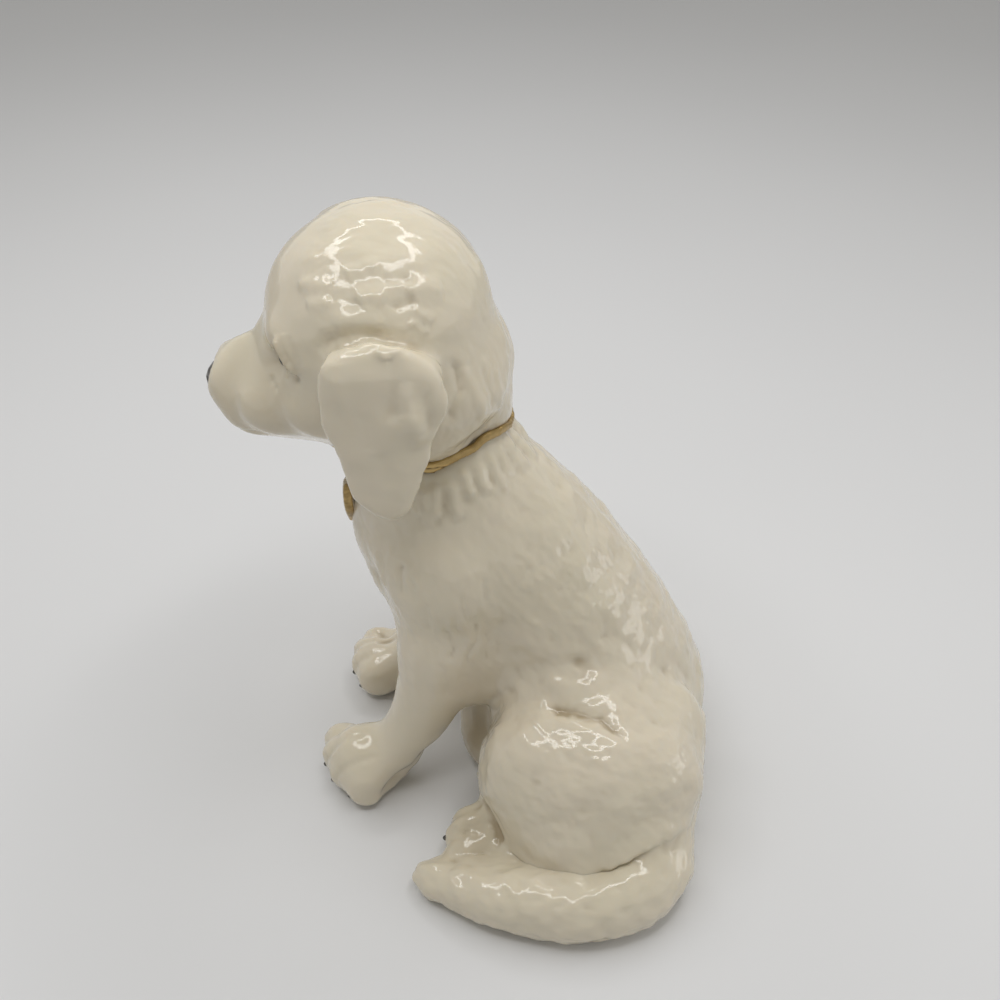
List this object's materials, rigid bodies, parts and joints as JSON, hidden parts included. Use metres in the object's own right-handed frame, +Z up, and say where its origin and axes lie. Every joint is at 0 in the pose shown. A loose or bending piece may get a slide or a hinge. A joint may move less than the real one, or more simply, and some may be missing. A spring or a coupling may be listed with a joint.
{
  "type": "porcelain dog figurine",
  "caption": "Glazed porcelain puppy sitting on its haunches, tail curled round its left side, with drop ears and a gilt collar with a heart tag.",
  "frame": {"origin": "on the flat seat, in the plane that splits the torso left from right, level with the middle of the torso's footprint", "axes": "+Z up, -Y the way the dog faces, +X to the dog's own left"},
  "size_m": [0.1088, 0.1053, 0.1353],
  "materials": {
    "ivory_glaze": "gloss",
    "gilding": "satin gilt",
    "dark_enamel": "gloss"
  },
  "bodies": {
    "root": {"torso": "ivory_glaze", "head": "ivory_glaze", "ear_left": "ivory_glaze", "ear_right": "ivory_glaze", "foreleg_left": "ivory_glaze", "foreleg_right": "ivory_glaze", "haunch_left": "ivory_glaze", "haunch_right": "ivory_glaze", "hind_paw_left": "ivory_glaze", "hind_paw_right": "ivory_glaze", "tail": "ivory_glaze", "collar": "gilding", "collar_tag": "gilding", "nose": "dark_enamel", "eye_left": "dark_enamel", "eye_right": "dark_enamel", "fore_claw_left_1": "dark_enamel", "fore_claw_left_2": "dark_enamel", "fore_claw_left_3": "dark_enamel", "fore_claw_left_4": "dark_enamel", "fore_claw_right_1": "dark_enamel", "fore_claw_right_2": "dark_enamel", "fore_claw_right_3": "dark_enamel", "fore_claw_right_4": "dark_enamel", "hind_claw_left_1": "dark_enamel", "hind_claw_left_2": "dark_enamel", "hind_claw_left_3": "dark_enamel", "hind_claw_left_4": "dark_enamel", "hind_claw_right_1": "dark_enamel", "hind_claw_right_2": "dark_enamel", "hind_claw_right_3": "dark_enamel", "hind_claw_right_4": "dark_enamel"}
  },
  "joints": []
}
